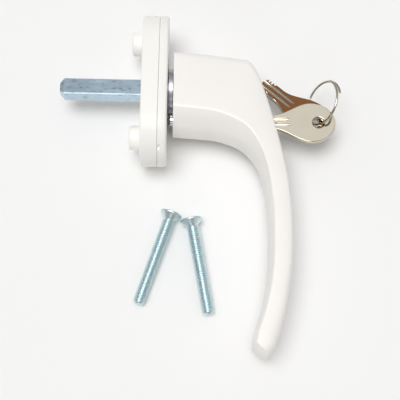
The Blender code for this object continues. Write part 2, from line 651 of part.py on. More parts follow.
# Countersunk fixing screw lying on the table, head centre and heading in the plan
def screw(name, head, tip):
    n = 14
    root = SCREW_RADIUS - THREAD_DEPTH
    flat = Vector((tip[0] - head[0], tip[1] - head[1], 0.0)).normalized()
    drop = (SCREW_HEAD_RADIUS - SCREW_RADIUS) / (SCREW_LENGTH - 1.0)
    axis = Vector((flat.x, flat.y, -drop)).normalized()
    side = axis.cross(Vector((0.0, 0.0, 1.0))).normalized()
    up = side.cross(axis)
    start = Vector((head[0], head[1], FLOOR + SCREW_HEAD_RADIUS + 0.05))

    def spot(s, r, k):
        a = 2.0 * math.pi * k / n
        return tuple(start + axis * s + side * (r * math.cos(a)) + up * (r * math.sin(a)))

    # Head cone down to the neck
    cone = [(0.0, SCREW_HEAD_RADIUS - 0.2), (0.3, SCREW_HEAD_RADIUS), (0.7, SCREW_HEAD_RADIUS),
            (SCREW_HEAD_HEIGHT, root)]
    verts = [spot(s, r, k) for s, r in cone for k in range(n)]
    faces = [tuple(reversed(range(n)))]
    for j in range(len(cone) - 1):
        for i in range(n):
            k = (i + 1) % n
            faces.append((j * n + i, j * n + k, (j + 1) * n + k, (j + 1) * n + i))
    neck = (len(cone) - 1) * n

    # Crest and root helices, the crest rising from the neck and sinking at the tip within one turn
    first = SCREW_HEAD_HEIGHT + 0.3
    last = n * int((SCREW_LENGTH - first - 1.0) / THREAD_PITCH)
    crest = len(verts)
    for i in range(last + 1):
        rise = min(1.0, 0.06 + i / n, 0.06 + (last - i) / n)
        verts.append(spot(first + THREAD_PITCH * i / n, root + THREAD_DEPTH * rise, i))
    trough = len(verts)
    for i in range(last + 1):
        verts.append(spot(first + THREAD_PITCH * (i / n + 0.5), root, i))
    for i in range(last):
        faces.append((crest + i, crest + i + 1, trough + i + 1, trough + i))
    for i in range(last - n):
        faces.append((trough + i, trough + i + 1, crest + i + n + 1, crest + i + n))

    # Run-in at the neck, run-out at the tip
    end = trough + last - n
    point = len(verts)
    verts.extend([spot(SCREW_LENGTH, root - 0.35, k) for k in range(n)])
    for i in range(n):
        k = (i + 1) % n
        faces.append((neck + i, neck + k, crest + i + 1, crest + i))
        faces.append((end + i, end + i + 1, point + k, point + i))
    faces.append((neck, crest, trough, crest + n))
    faces.append((end, crest + last, end + n, point))
    faces.append(tuple(range(point, point + n)))
    ob = make(name, verts, faces, ROOT, ZINC)
    for tag, u, v in (("a", side, up), ("b", up, side)):
        loop = []
        for s in (-1.0, 1.7):
            loop.append([tuple(start + axis * s + u * p + v * q) for p,
                         q in ((-2.4, -0.5), (2.4, -0.5), (2.4, 0.5),
                                                                           (-2.4, 0.5))])
        cut(ob, loft(name + "_recess_" + tag, loop, ROOT, ZINC, True))
    return ob


screw("fixing_screw_left", (13.2, -49.8), (1.4, -85.5))
screw("fixing_screw_right", (21.4, -52.3), (28.8, -90.5))

# Bring the box of all pieces over the origin with its bottom on z = 0
bpy.context.view_layer.update()
graph = bpy.context.evaluated_depsgraph_get()
low = [1e9, 1e9, 1e9]
high = [-1e9, -1e9, -1e9]
for ob in parts.objects:
    if ob.type == "EMPTY":
        continue
    mesh = ob.evaluated_get(graph).to_mesh()
    for v in mesh.vertices:
        p = ob.matrix_world @ v.co
        for i in range(3):
            low[i] = min(low[i], p[i])
            high[i] = max(high[i], p[i])
ROOT.location = (-(low[0] + high[0]) / 2.0, -(low[1] + high[1]) / 2.0, -low[2])
bpy.context.view_layer.update()
print("box mm", [round((high[i] - low[i]) * 1000.0, 2) for i in range(3)])
print("root at mm", [round(c * 1000.0, 3) for c in ROOT.location])
for e in parts.objects:
    if e.type == "EMPTY":
        print("pivot", e.name, [round(c * 1000.0, 3) for c in e.matrix_world.translation])
print("ring axis", [round(c, 4) for c in e1], "spare axis",
      [round(c, 4) for c in place.to_3x3() @ Vector((0, 0, 1))])
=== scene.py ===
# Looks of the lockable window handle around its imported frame: finishes, soft edges, studio light and camera.
import json
import math

import bmesh
import bpy
from mathutils import Matrix, Vector


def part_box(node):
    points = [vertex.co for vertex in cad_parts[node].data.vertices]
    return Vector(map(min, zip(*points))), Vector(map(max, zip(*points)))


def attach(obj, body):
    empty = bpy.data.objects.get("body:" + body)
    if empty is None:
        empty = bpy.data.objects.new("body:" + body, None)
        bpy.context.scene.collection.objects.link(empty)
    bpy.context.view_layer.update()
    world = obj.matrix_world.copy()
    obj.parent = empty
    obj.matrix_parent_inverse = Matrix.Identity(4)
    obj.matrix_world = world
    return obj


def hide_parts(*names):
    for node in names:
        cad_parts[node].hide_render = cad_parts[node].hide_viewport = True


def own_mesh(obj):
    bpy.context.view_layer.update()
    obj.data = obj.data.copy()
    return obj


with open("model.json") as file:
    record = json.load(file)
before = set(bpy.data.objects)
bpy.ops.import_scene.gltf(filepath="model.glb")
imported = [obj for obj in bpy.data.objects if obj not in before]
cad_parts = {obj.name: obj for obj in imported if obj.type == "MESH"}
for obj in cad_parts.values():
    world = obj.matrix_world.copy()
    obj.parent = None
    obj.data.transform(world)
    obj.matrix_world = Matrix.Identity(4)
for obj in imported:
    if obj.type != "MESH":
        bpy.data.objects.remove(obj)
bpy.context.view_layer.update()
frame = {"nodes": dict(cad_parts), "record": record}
NODES = frame["nodes"]
BODY_OF = {node: body for body, nodes in frame["record"]["behaviour"]["bodies"].items() for node in nodes}
SLOT_OF = {row["node"]: row["material_slot"] for row in frame["record"]["subparts"]}
MM = 0.001

# Spindle axis at the rosette's back face, found from the cover, which starts 7.3 mm in front of that face
COVER_BACK = 7.3
cover_low, cover_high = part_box("rosette_cover")
AXIS = Vector((
    cover_low.x - COVER_BACK * MM,
    (cover_low.y + cover_high.y) / 2.0,
    (cover_low.z + cover_high.z) / 2.0,
))


# A place in millimetres from the spindle axis, in the frame's metres
def at(x, y, z):
    return AXIS + Vector((x, y, z)) * MM


def into_scene(thing):
    bpy.context.scene.collection.objects.link(thing)
    return thing


# Even steps of a full turn, in radians
def around(count):
    return [2.0 * math.pi * k / count for k in range(count)]


# Corners of a rectangle from its half sizes
def corners(a, b):
    return [(-a, -b), (a, -b), (a, b), (-a, b)]


# Camera, as read from the photo: place in millimetres from the spindle axis, angles in degrees
CAMERA_AT = (17.96, -184.26, 375.28)
CAMERA_TILT = 19.96
CAMERA_YAW = 0.96
CAMERA_ROLL = 0.77
FOCAL_PIXELS = 996.5
IMAGE_PIXELS = 400.0
SENSOR = 36.0
CLIP_START = 0.01


def add_camera():
    tilt, yaw, roll = (math.radians(a) for a in (CAMERA_TILT, CAMERA_YAW, CAMERA_ROLL))
    forward = Vector((math.sin(yaw), math.cos(yaw) * math.sin(tilt), -math.cos(yaw) * math.cos(tilt)))
    level = forward.cross(Vector((0.0, 1.0, 0.0))).normalized()
    upward = level.cross(forward)
    right = level * math.cos(roll) + upward * math.sin(roll)
    up = upward * math.cos(roll) - level * math.sin(roll)
    data = bpy.data.cameras.new("camera")
    data.sensor_width = SENSOR
    data.lens = SENSOR * FOCAL_PIXELS / IMAGE_PIXELS
    data.clip_start = CLIP_START
    camera = into_scene(bpy.data.objects.new("camera", data))
    turn = Matrix((right, up, -forward)).transposed()
    camera.matrix_world = Matrix.Translation(at(*CAMERA_AT)) @ turn.to_4x4()
    bpy.context.scene.camera = camera


# The part of its range that a noise texture mostly fills
NOISE_LOW = 0.3
NOISE_HIGH = 0.7


# Give a colour ramp its stops, each a position and a colour
def set_ramp(ramp, stops):
    elements = ramp.color_ramp.elements
    while len(elements) < len(stops):
        elements.new(0.5)
    for element, (position, colour) in zip(elements, stops):
        element.position = position
        element.color = (colour[0], colour[1], colour[2], 1.0)


# A Principled material and a short way to add nodes to it
class Finish:
    def __init__(self, name, metal):
        self.material = bpy.data.materials.new(name)
        self.material.use_nodes = True
        self.tree = self.material.node_tree
        self.shader = self.tree.nodes["Principled BSDF"]
        self.shader.inputs["Metallic"].default_value = metal
        self.place = self.tree.nodes.new("ShaderNodeTexCoord").outputs["Object"]

    def link(self, source, target):
        self.tree.links.new(source, target)

    # Noise in the piece's own frame; size is its grain in millimetres, stretch lengthens it along each axis
    def noise(self, size, detail=2.0, stretch=(1.0, 1.0, 1.0)):
        mapping = self.tree.nodes.new("ShaderNodeMapping")
        mapping.inputs["Scale"].default_value = [1.0 / s for s in stretch]
        self.link(self.place, mapping.inputs["Vector"])
        texture = self.tree.nodes.new("ShaderNodeTexNoise")
        texture.inputs["Scale"].default_value = 1.0 / MM / size
        texture.inputs["Detail"].default_value = detail
        self.link(mapping.outputs["Vector"], texture.inputs["Vector"])
        return texture.outputs["Fac"]

    # Colour that runs through the stops as the factor goes from low to high
    def colours(self, factor, stops):
        ramp = self.tree.nodes.new("ShaderNodeValToRGB")
        set_ramp(ramp, stops)
        self.link(factor, ramp.inputs["Fac"])
        self.link(ramp.outputs["Color"], self.shader.inputs["Base Color"])

    def roughness(self, factor, low, high):
        spread = self.tree.nodes.new("ShaderNodeMapRange")
        spread.inputs["From Min"].default_value = NOISE_LOW
        spread.inputs["From Max"].default_value = NOISE_HIGH
        spread.inputs["To Min"].default_value = low
        spread.inputs["To Max"].default_value = high
        self.link(factor, spread.inputs["Value"])
        self.link(spread.outputs["Result"], self.shader.inputs["Roughness"])

    # Relief of the given depth in millimetres
    def bump(self, factor, depth, strength):
        relief = self.tree.nodes.new("ShaderNodeBump")
        relief.inputs["Strength"].default_value = strength
        relief.inputs["Distance"].default_value = depth * MM
        self.link(factor, relief.inputs["Height"])
        self.link(relief.outputs["Normal"], self.shader.inputs["Normal"])


def powder_coat():
    f = Finish("white_powder_coat_finish", metal=0.0)
    f.colours(f.noise(14.0), [(0.3, (0.94, 0.917, 0.893)), (0.7, (0.953, 0.93, 0.906))])
    f.roughness(f.noise(3.0), low=0.28, high=0.40)
    f.bump(f.noise(0.5, detail=3.0), depth=0.02, strength=0.25)
    return f.material


def moulded_plastic():
    f = Finish("white_plastic_finish", metal=0.0)
    f.colours(f.noise(18.0), [(0.3, (0.96, 0.948, 0.915)), (0.7, (0.972, 0.96, 0.928))])
    f.roughness(f.noise(2.0), low=0.32, high=0.46)
    f.bump(f.noise(0.35, detail=3.0), depth=0.012, strength=0.25)
    return f.material


# Blue passivated zinc on rolled steel: faint clouds of colour and fine lines along the bar
def rolled_zinc():
    f = Finish("rolled_zinc_finish", metal=1.0)
    clouds = f.noise(1.6, detail=5.0, stretch=(1.6, 1.0, 1.0))
    f.colours(clouds, [(0.3, (0.28, 0.40, 0.52)), (0.42, (0.46, 0.59, 0.69)), (0.7, (0.53, 0.65, 0.74))])
    f.roughness(f.noise(1.2, detail=3.0, stretch=(8.0, 1.0, 1.0)), low=0.14, high=0.28)
    f.bump(f.noise(0.3, stretch=(30.0, 1.0, 1.0)), depth=0.008, strength=0.2)
    return f.material


# Brighter and less smooth zinc of the screws
def screw_zinc():
    f = Finish("screw_zinc_finish", metal=1.0)
    f.colours(f.noise(1.6, detail=3.0), [(0.3, (0.62, 0.76, 0.80)), (0.7, (0.71, 0.84, 0.87))])
    f.roughness(f.noise(0.8, detail=3.0), low=0.32, high=0.46)
    f.bump(f.noise(0.3), depth=0.006, strength=0.2)
    return f.material


def nickel_plate():
    f = Finish("nickel_finish", metal=1.0)
    f.colours(f.noise(6.0), [(0.35, (0.615, 0.565, 0.465)), (0.65, (0.63, 0.58, 0.485))])
    f.roughness(f.noise(1.6, detail=4.0), low=0.03, high=0.08)
    f.bump(f.noise(0.2, stretch=(14.0, 1.0, 1.0)), depth=0.002, strength=0.1)
    return f.material


def plain_metal(name, colour, rough):
    f = Finish(name, metal=1.0)
    shade = [c * 0.9 for c in colour]
    f.colours(f.noise(1.5, detail=3.0), [(0.35, shade), (0.65, colour)])
    f.roughness(f.noise(0.7, detail=3.0), low=rough * 0.8, high=rough * 1.3)
    f.bump(f.noise(0.2), depth=0.006, strength=0.2)
    return f.material


def nylon():
    f = Finish("grey_nylon_finish", metal=0.0)
    f.colours(f.noise(3.0), [(0.35, (0.27, 0.27, 0.27)), (0.65, (0.32, 0.32, 0.32))])
    f.roughness(f.noise(0.8), low=0.42, high=0.58)
    f.bump(f.noise(0.3), depth=0.01, strength=0.2)
    return f.material


FINISHES = {
    "white_powder_coat": powder_coat(),
    "white_plastic": moulded_plastic(),
    "blue_zinc_steel": rolled_zinc(),
    "nickel": nickel_plate(),
    "bright_steel": plain_metal("bright_steel_finish", (0.68, 0.68, 0.70), 0.16),
    "spring_steel": plain_metal("spring_steel_finish", (0.36, 0.36, 0.38), 0.32),
    "brass": plain_metal("brass_finish", (0.72, 0.54, 0.24), 0.26),
    "grey_nylon": nylon(),
}
SCREW_FINISH = screw_zinc()
COLLAR_FINISH = plain_metal("collar_chrome_finish", (0.64, 0.63, 0.72), 0.34)
RING_FINISH = plain_metal("ring_wire_finish", (0.60, 0.56, 0.46), 0.14)


# The piece stands for its CAD node, moves with the node's body and takes the node's finish
def settle(piece, node, finish=None):
    piece.data.materials.clear()
    piece.data.materials.append(finish or FINISHES[SLOT_OF[node]])
    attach(piece, BODY_OF[node])
    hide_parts(node)
    return piece


def new_piece(name, verts, faces):
    mesh = bpy.data.meshes.new(name)
    mesh.from_pydata(verts, [], faces)
    return into_scene(bpy.data.objects.new(name, mesh))


# Shade the piece smoothly, apart from edges sharper than the given angle in degrees
def smooth_up_to(piece, angle):
    piece.data.shade_smooth()
    piece.data.set_sharp_from_angle(angle=math.radians(angle))


# Vertices this close in metres are one, and faces this close in degrees lie in one plane
MERGE_WITHIN = 1e-7
FLAT_WITHIN = 0.4


# Merge doubled vertices and what lies in one plane, then shade smoothly up to the given angle
def clean(piece, angle):
    bm = bmesh.new()
    bm.from_mesh(piece.data)
    bmesh.ops.remove_doubles(bm, verts=bm.verts, dist=MERGE_WITHIN)
    bmesh.ops.dissolve_limit(bm, angle_limit=math.radians(FLAT_WITHIN), verts=bm.verts, edges=bm.edges)
    bmesh.ops.recalc_face_normals(bm, faces=bm.faces)
    bm.to_mesh(piece.data)
    bm.free()
    smooth_up_to(piece, angle)


# A closed mesh through rings of points, each with the same count, capped at both ends
def through_rings(name, rings):
    count = len(rings[0])
    verts = [p for ring in rings for p in ring]
    faces = [tuple(reversed(range(count)))]
    for j in range(len(rings) - 1):
        for i in range(count):
            k = (i + 1) % count
            faces.append((j * count + i, j * count + k, (j + 1) * count + k, (j + 1) * count + i))
    faces.append(tuple(range((len(rings) - 1) * count, len(rings) * count)))
    piece = new_piece(name, verts, faces)
    bm = bmesh.new()
    bm.from_mesh(piece.data)
    bmesh.ops.recalc_face_normals(bm, faces=bm.faces)
    bm.to_mesh(piece.data)
    bm.free()
    return piece


# The mesh of an object as its modifiers or curve settings make it
def made_mesh(thing):
    graph = bpy.context.evaluated_depsgraph_get()
    return bpy.data.meshes.new_from_object(thing.evaluated_get(graph))


# Take the cutters out of the piece and drop them
def carve(piece, cutters):
    for cutter in cutters:
        modifier = piece.modifiers.new("carve", "BOOLEAN")
        modifier.object = cutter
        modifier.operation = "DIFFERENCE"
        modifier.solver = "MANIFOLD"
    mesh = made_mesh(piece)
    piece.modifiers.clear()
    piece.data = mesh
    for cutter in cutters:
        bpy.data.objects.remove(cutter, do_unlink=True)


# How far a cutter starts outside the piece that it cuts, in millimetres
PAST = 1.0

# Pieces that are copies of their CAD nodes: edge radius in millimetres, smoothing angle in degrees, finish
PLAIN = (0.0, 30.0, None)
DRESSED = {
    "rosette_base": (0.3, 28.0, None),
    "rosette_cover": (0.0, 34.0, None),
    "neck_collar": (0.12, 30.0, COLLAR_FINISH),
    "square_spindle": (0.0, 25.0, None),
    "lock_housing": (0.2, 30.0, None),
    "lock_plug": (0.08, 30.0, None),
    "key_ring": (0.0, 60.0, RING_FINISH),
    "locking_bolt": (0.1, 34.0, None),
}
REBUILT = ("lever_handle", "key_in_lock", "spare_key", "fixing_screw_left", "fixing_screw_right")
EDGE_SEGMENTS = 3
WIRE_LEVELS = 2
SEAM_CLOSED = 0.22
RIM_WITHIN = 0.02


def dress(node, soft, angle, finish):
    source = NODES[node].data
    verts = [v.co.copy() for v in source.vertices]
    faces = [tuple(p.vertices) for p in source.polygons]
    piece = new_piece(node + "_finish", verts, faces)
    clean(piece, angle)
    if soft > 0.0:
        bevel = piece.modifiers.new("soft_edges", "BEVEL")
        bevel.width = soft * MM
        bevel.segments = EDGE_SEGMENTS
        bevel.limit_method = "ANGLE"
        bevel.angle_limit = math.radians(angle)
        bevel.use_clamp_overlap = False
    return settle(piece, node, finish)


# Bring the back rim of the finished cover almost to the base, so that the seam is a hair line
def close_seam(piece):
    back = min(v.co.x for v in piece.data.vertices)
    for vertex in piece.data.vertices:
        if vertex.co.x < back + RIM_WITHIN * MM:
            vertex.co.x -= SEAM_CLOSED * MM


# The bolt's spring shortens towards the back of its chamber as the bolt is thrown; here it only gets a mesh of
# its own
def shorten(piece):
    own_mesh(piece)


def dress_all():
    for node in NODES:
        if node not in REBUILT:
            soft, angle, finish = DRESSED.get(node, PLAIN)
            piece = dress(node, soft, angle, finish)
            if node == "rosette_cover":
                close_seam(piece)
            if node == "bolt_spring":
                shorten(piece)
            if node == "key_ring":
                piece.modifiers.new("round_wire", "SUBSURF").render_levels = WIRE_LEVELS


# Fixing screws in millimetres: sizes and places of their CAD solids, with a deeper thread and finer edges
SCREW_LENGTH = 40.0
SCREW_RADIUS = 2.5
SCREW_HEAD_RADIUS = 4.6
SCREW_HEAD_HEIGHT = 2.9
THREAD_PITCH = 0.8
THREAD_DEPTH = 0.49
SCREW_SIDES = 24
STEPS_A_PITCH = 16
SCREW_SHARP = 40.0
# Each screw lies on the rim of its head and on its tip, just above the table
TABLE = -16.0
TABLE_GAP = 0.05
REST_SPAN = SCREW_LENGTH - 1.0
# Name, and the places of head and tip seen from above
SCREWS = [
    ("fixing_screw_left", (13.2, -49.8), (1.4, -85.5)),
    ("fixing_screw_right", (21.4, -52.3), (28.8, -90.5)),
]
# Rings of the head: place along the screw, and distance inside the head's radius
HEAD_RINGS = [(0.0, 0.25), (0.1, 0.08), (0.25, 0.0), (0.7, 0.0), (0.85, 0.12)]
CONE_STEP = 0.1
# Plain lengths before and after the thread, the share of its depth left at its end, and the taper of the tip
PLAIN_NECK = 0.3
PLAIN_TIP = 0.5
THREAD_LEFT = 0.3
TIP_TAPER = 0.35
# The thread's foot and the width of its flank, as shares of the pitch from the middle of the crest
THREAD_FOOT = 0.42
THREAD_FLANK = 0.32
# Cross recess: half length and half width of its arms, and depth
RECESS_ARM = 2.4
RECESS_HALF = 0.5
RECESS_DEPTH = 1.7


# Height of the thread at a share of the pitch: a narrow crest, steep flanks and a narrow root
def thread(share):
    away = abs(share - round(share))
    u = min(1.0, max(0.0, (THREAD_FOOT - away) / THREAD_FLANK))
    return u * u * (3.0 - 2.0 * u)


def add_screw(node, head, tip):
    root = SCREW_RADIUS - THREAD_DEPTH
    flat = Vector((tip[0] - head[0], tip[1] - head[1], 0.0)).normalized()
    drop = (SCREW_HEAD_RADIUS - SCREW_RADIUS) / REST_SPAN
    axis = Vector((flat.x, flat.y, -drop)).normalized()
    side = axis.cross(Vector((0.0, 0.0, 1.0))).normalized()
    up = side.cross(axis)
    start = Vector((head[0], head[1], TABLE + SCREW_HEAD_RADIUS + TABLE_GAP))

    # A ring around the screw, raised by the thread's height times the given depth
    def ring(along, base, depth=0.0):
        points = []
        for k, a in enumerate(around(SCREW_SIDES)):
            r = base + depth * thread(along / THREAD_PITCH - k / SCREW_SIDES)
            points.append(at(*(start + axis * along + side * (r * math.cos(a)) + up * (r * math.sin(a)))))
        return points

    rings = [ring(along, SCREW_HEAD_RADIUS - inside) for along, inside in HEAD_RINGS]
    rings.append(ring(SCREW_HEAD_HEIGHT, root + CONE_STEP))
    first = SCREW_HEAD_HEIGHT + PLAIN_NECK
    last = SCREW_LENGTH - PLAIN_TIP
    count = int((last - first) / THREAD_PITCH * STEPS_A_PITCH)
    for j in range(count + 1):
        along = first + (last - first) * j / count
        fade = min(1.0, (along - first) / THREAD_PITCH, (last - along) / THREAD_PITCH + THREAD_LEFT)
        rings.append(ring(along, root, THREAD_DEPTH * fade))
    rings.append(ring(SCREW_LENGTH, root - TIP_TAPER))
    piece = through_rings(node + "_finish", rings)
    recess = []
    for u, v in ((side, up), (up, side)):
        loops = []
        for along in (-PAST, RECESS_DEPTH):
            arm = corners(RECESS_ARM, RECESS_HALF)
            loops.append([at(*(start + axis * along + u * p + v * q)) for p, q in arm])
        recess.append(through_rings("recess", loops))
    carve(piece, recess)
    smooth_up_to(piece, SCREW_SHARP)
    settle(piece, node, SCREW_FINISH)


# Keys in millimetres and degrees: sizes and places of their CAD solids, with rounded rims and round grooves
KEY_THICK = 2.0
KEY_RIM = 0.25
RIM_STEPS = 2
KEY_REACH = 25.2
BLADE_WIDTH = 6.4
BLADE_TAPER = 2.0
BOW_NOSE = 9.9
BOW_FLARE = 16.0
BOW_WIDTH = 17.4
NOSE_STEPS = 48
FLARE_STEPS = 24
KEY_HOLE_RADIUS = 2.5
KEY_HOLE_AT = 2.9
KEY_HOLE_SIDES = 48
KEY_MERGE_WITHIN = 1e-6
KEY_SHARP = 32.0
# Notches of the blade: place and depth, and half widths at the edge and at the foot
NOTCHES = [(-20.4, 0.7), (-21.8, 1.2), (-23.2, 0.9)]
NOTCH_EDGE = 0.6
NOTCH_FOOT = 0.2
# Grooves: distance from the key's middle, height of the cutter's axis over the face, then place and radius
GROOVE_OFFSET = 1.2
GROOVE_LIFT = 0.15
GROOVE_RUN = [(-KEY_REACH - PAST, 0.75), (-10.6, 0.75), (-8.6, 0.15)]
GROOVE_SIDES = 24
# A face whose normal is this close to a direction counts as flat across it
FACE_DOT = 0.9999


def turned(degrees, axis):
    return Matrix.Rotation(math.radians(degrees), 4, axis)


KEY_PLACE = Matrix.Translation((70.2, -13.3, 0.0))
SPARE_EYE = (71.351, -12.004, -3.111)
SPARE_TURN = 41.4
SPARE_TILT = -1.7
SPARE_ROLL = -4.0
SPARE_PLACE = (
    Matrix.Translation(SPARE_EYE)
    @ turned(-SPARE_TURN, "Z")
    @ turned(SPARE_TILT, "Y")
    @ turned(SPARE_ROLL, "X")
    @ Matrix.Translation((-KEY_HOLE_AT, 0.0, 0.0))
)


# Bow centre at the origin, round nose to +X, notched blade to -X
def key_outline():
    half_bow = BOW_WIDTH / 2.0
    half_blade = BLADE_WIDTH / 2.0
    nose = []
    for k in range(NOSE_STEPS + 1):
        a = math.radians(-90.0 + 180.0 * k / NOSE_STEPS)
        nose.append((BOW_NOSE * math.cos(a), half_bow * math.sin(a)))
    upper = []
    for k in range(1, FLARE_STEPS + 1):
        swell = 0.5 + 0.5 * math.cos(math.pi * k / FLARE_STEPS)
        upper.append((-BOW_FLARE * k / FLARE_STEPS, half_blade + (half_bow - half_blade) * swell))
    for x, depth in NOTCHES:
        upper.append((x + NOTCH_EDGE, half_blade))
        upper.append((x + NOTCH_FOOT, half_blade - depth))
        upper.append((x - NOTCH_FOOT, half_blade - depth))
        upper.append((x - NOTCH_EDGE, half_blade))
    upper.append((-KEY_REACH, half_blade - BLADE_TAPER))
    return nose + upper + [(x, -y) for x, y in reversed(upper)]


def key_hole():
    points = []
    for a in around(KEY_HOLE_SIDES):
        points.append((KEY_HOLE_AT + KEY_HOLE_RADIUS * math.cos(a), KEY_HOLE_RADIUS * math.sin(a)))
    return points


def add_loop(curve, points):
    spline = curve.splines.new("POLY")
    spline.points.add(len(points) - 1)
    spline.use_cyclic_u = True
    for point, (x, y) in zip(spline.points, points):
        point.co = (x * MM, y * MM, 0.0, 1.0)


# A plate with a rounded rim and an eye
def key_plate(node, place):
    curve = bpy.data.curves.new(node, "CURVE")
    curve.dimensions = "2D"
    curve.fill_mode = "BOTH"
    curve.extrude = (KEY_THICK / 2.0 - KEY_RIM) * MM
    curve.bevel_depth = KEY_RIM * MM
    curve.bevel_resolution = RIM_STEPS
    curve.offset = -KEY_RIM * MM
    add_loop(curve, key_outline())
    add_loop(curve, key_hole())
    flat = into_scene(bpy.data.objects.new("flat", curve))
    mesh = made_mesh(flat)
    bpy.data.objects.remove(flat, do_unlink=True)
    bm = bmesh.new()
    bm.from_mesh(mesh)
    bmesh.ops.remove_doubles(bm, verts=bm.verts, dist=KEY_MERGE_WITHIN)
    bmesh.ops.recalc_face_normals(bm, faces=bm.faces)
    for vertex in bm.verts:
        vertex.co = at(*(place @ (vertex.co / MM)))
    bm.to_mesh(mesh)
    bm.free()
    return into_scene(bpy.data.objects.new(node + "_finish", mesh))


# The cutter of one groove, from beyond the blade's tip to where it runs out before the bow
def groove(place, across, face):
    lift = face * (KEY_THICK / 2.0 + GROOVE_LIFT)
    rings = []
    for along, radius in GROOVE_RUN:
        ring = []
        for a in around(GROOVE_SIDES):
            spot = Vector((along, across + radius * math.cos(a), lift + radius * math.sin(a)))
            ring.append(at(*(place @ spot)))
        rings.append(ring)
    return through_rings("mill", rings)


# Keep the two flat faces of a plate flat right up to their rims
def sharpen_faces(piece, across):
    bm = bmesh.new()
    bm.from_mesh(piece.data)
    for edge in bm.edges:
        flat = [abs(face.normal.dot(across)) > FACE_DOT for face in edge.link_faces]
        if any(flat) and not all(flat):
            edge.smooth = False
    bm.to_mesh(piece.data)
    bm.free()


# A plate with two round milled grooves on each face of its blade
def add_key(node, place):
    piece = key_plate(node, place)
    cutters = []
    for across in (GROOVE_OFFSET, -GROOVE_OFFSET):
        for face in (1.0, -1.0):
            cutters.append(groove(place, across, face))
    carve(piece, cutters)
    smooth_up_to(piece, KEY_SHARP)
    sharpen_faces(piece, place.to_3x3() @ Vector((0.0, 0.0, 1.0)))
    settle(piece, node)


# Back of the hub in millimetres in front of the rosette's back face
HUB_BACK = (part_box("lever_handle")[0].x - AXIS.x) / MM
# Lever sections: outer x, y, inner x, y and half width in mm; ridge place, inner edge and rounding as shares
STATIONS = [
    (HUB_BACK, 13.4, HUB_BACK, -19.4, 13.0, 0.21, 0.30, 0.12),
    (22.0, 12.8, 22.0, -19.9, 12.9, 0.20, 0.30, 0.12),
    (31.0, 11.9, 31.0, -20.7, 12.7, 0.19, 0.32, 0.12),
    (39.0, 11.0, 38.0, -22.8, 12.4, 0.165, 0.36, 0.12),
    (44.0, 10.2, 42.5, -25.4, 12.1, 0.15, 0.40, 0.12),
    (47.3, 5.4, 45.5, -28.4, 11.8, 0.14, 0.44, 0.12),
    (50.2, -2.6, 47.6, -31.6, 11.5, 0.14, 0.48, 0.12),
    (53.2, -12.6, 49.3, -35.4, 11.2, 0.14, 0.52, 0.13),
    (56.1, -23.6, 50.6, -40.6, 10.9, 0.15, 0.56, 0.14),
    (58.6, -34.6, 51.5, -47.4, 10.6, 0.16, 0.60, 0.16),
    (60.4, -46.4, 52.0, -54.6, 10.4, 0.17, 0.62, 0.18),
    (61.2, -60.0, 52.2, -63.4, 10.2, 0.17, 0.64, 0.20),
    (61.0, -73.4, 51.9, -74.0, 10.0, 0.17, 0.64, 0.24),
    (59.3, -87.0, 50.8, -84.0, 9.8, 0.17, 0.64, 0.29),
    (56.7, -99.0, 48.6, -93.6, 9.6, 0.17, 0.64, 0.33),
    (54.7, -105.2, 46.2, -101.0, 9.44, 0.17, 0.64, 0.36),
]
# The flat cut end of the grip, rounded at its outer corner, where the CAD solid ends in two bevels
END_STATIONS = [
    (54.3, -106.6, 45.75, -102.6, 9.4, 0.17, 0.64, 0.36),
    (53.9, -107.7, 45.6, -103.7, 9.38, 0.17, 0.64, 0.36),
    (53.3, -108.7, 45.5, -104.6, 9.36, 0.17, 0.64, 0.36),
    (52.5, -109.6, 45.44, -105.2, 9.34, 0.17, 0.64, 0.36),
    (51.6, -110.4, 45.38, -105.75, 9.34, 0.17, 0.64, 0.36),
    (50.85, -110.95, 45.28, -106.25, 9.32, 0.17, 0.64, 0.36),
    (50.6, -110.93, 45.33, -106.49, 9.15, 0.17, 0.64, 0.36),
]
STEPS_A_STATION = 7
LEVER_SHARP = 40.0
# Inner slope of a section: share of the way to the ridge, height, and what the inner edge's height adds
SLOPE = [(0.3, 0.45, 0.495), (0.48, 0.62, 0.345), (0.66, 0.78, 0.2)]
# A point before the slope: share of the way to the ridge, and share of the rise to the slope's first point
SLOPE_FOOT = (0.15, 0.56)
# Points between the slope and the ridge, as shares of the way, and the ridge's height
SLOPE_TOP = (0.72, 0.86)
RIDGE_HEIGHT = 0.998
# Small round on the ridge: a point before it, points past it, and the crown of the flat top
BEFORE_RIDGE = (0.97, 0.983)
PAST_RIDGE = [(0.008, 0.997), (0.03, 1.002), (0.07, 1.005)]
CROWN = (0.45, 1.01)
# Outer rounding as shares of its size, with heights, and the outer side below it
OUTER_ROUND = [
    (1.0, 1.0),
    (0.8, 0.988),
    (0.6, 0.965),
    (0.42, 0.928),
    (0.28, 0.88),
    (0.16, 0.82),
    (0.08, 0.76),
    (0.02, 0.68),
]
OUTER_SIDE = [(1.0, 0.6), (1.006, 0.3)]
# Swell of the outer and the inner side in the middle of the section
BELLY = 0.01
# Holes of the hub in millimetres: spindle socket, seat of the neck, and the lock's way from the hub's back
SOCKET_HALF = 3.8
SOCKET_DEPTH = 18.5
NECK_RADIUS = 7.1
NECK_DEPTH = 5.3
LOCK_AT = -13.3
LOCK_WAY = [(-PAST, 2.75), (5.0, 2.75), (5.0, 4.9), (28.0, 4.9), (28.0, 7.3), (50.0, 7.3)]
BORE_SIDES = 48


